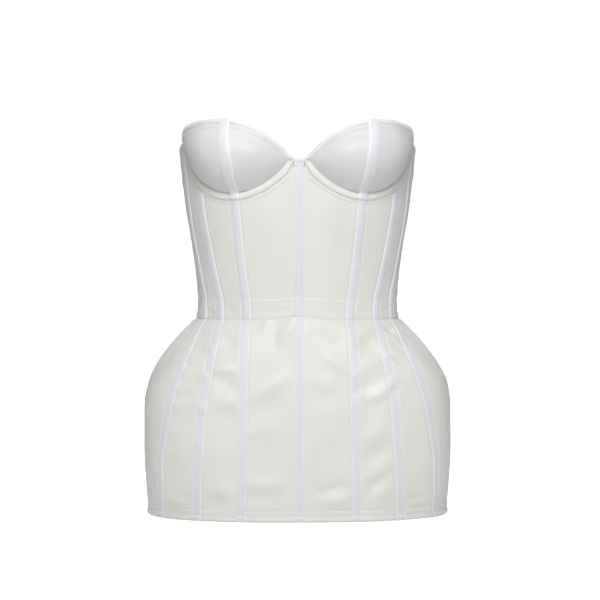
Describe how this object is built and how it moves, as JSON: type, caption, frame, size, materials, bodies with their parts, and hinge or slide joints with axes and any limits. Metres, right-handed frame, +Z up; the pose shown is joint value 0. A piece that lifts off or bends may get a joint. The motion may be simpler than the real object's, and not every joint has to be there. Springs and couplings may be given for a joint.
{
  "type": "corset top",
  "caption": "Strapless boned corset top with padded underwired cups, a flared boned skirt part and a centre back zip, filled out and hollow.",
  "frame": {"origin": "on the body's axis at the level of the waist seam", "axes": "+Z up the body towards the neckline, -Y towards the front, +X towards the wearer's left"},
  "size_m": [0.3594, 0.2332, 0.4506],
  "materials": {
    "body_satin": "ivory satin",
    "cup_satin": "cool white satin",
    "boning_tape": "matt white tape",
    "zip_tape": "woven tape and coil",
    "zip_metal": "polished"
  },
  "bodies": {
    "garment": {"bodice_centre_front": "body_satin", "bodice_side_front_left": "body_satin", "bodice_side_front_right": "body_satin", "bodice_side_left": "body_satin", "bodice_side_right": "body_satin", "bodice_side_back_left": "body_satin", "bodice_side_back_right": "body_satin", "bodice_back_left": "body_satin", "bodice_back_right": "body_satin", "skirt_centre_front": "body_satin", "skirt_side_front_left": "body_satin", "skirt_side_front_right": "body_satin", "skirt_side_left": "body_satin", "skirt_side_right": "body_satin", "skirt_side_back_left": "body_satin", "skirt_side_back_right": "body_satin", "skirt_back_left": "body_satin", "skirt_back_right": "body_satin", "underwire_casing_left": "body_satin", "underwire_casing_right": "body_satin", "wing_binding_left": "body_satin", "wing_binding_right": "body_satin", "hem_roll": "body_satin", "cup_inner_left": "cup_satin", "cup_inner_right": "cup_satin", "cup_outer_left": "cup_satin", "cup_outer_right": "cup_satin", "cup_binding_left": "cup_satin", "cup_binding_right": "cup_satin", "bodice_tape_centre": "boning_tape", "bodice_tape_one_left": "boning_tape", "bodice_tape_one_right": "boning_tape", "bodice_tape_two_left": "boning_tape", "bodice_tape_two_right": "boning_tape", "bodice_tape_three_left": "boning_tape", "bodice_tape_three_right": "boning_tape", "bodice_tape_four_left": "boning_tape", "bodice_tape_four_right": "boning_tape", "bodice_tape_five_left": "boning_tape", "bodice_tape_five_right": "boning_tape", "bodice_tape_six_left": "boning_tape", "bodice_tape_six_right": "boning_tape", "skirt_tape_centre": "boning_tape", "skirt_tape_one_left": "boning_tape", "skirt_tape_one_right": "boning_tape", "skirt_tape_two_left": "boning_tape", "skirt_tape_two_right": "boning_tape", "skirt_tape_three_left": "boning_tape", "skirt_tape_three_right": "boning_tape", "skirt_tape_four_left": "boning_tape", "skirt_tape_four_right": "boning_tape", "skirt_tape_five_left": "boning_tape", "skirt_tape_five_right": "boning_tape", "skirt_tape_six_left": "boning_tape", "skirt_tape_six_right": "boning_tape", "gore_bridge": "boning_tape", "zip_chain": "zip_tape", "zip_slider": "zip_metal"},
    "pull_tab": {"zip_pull_tab": "zip_metal"}
  },
  "joints": [
    {"name": "pull_tab_hinge", "type": "hinge", "parent": "garment", "child": "pull_tab", "pos_m": [0, 0.10163, 0.151], "axis": [1, 0, 0], "range_deg": [0, 150]}
  ]
}
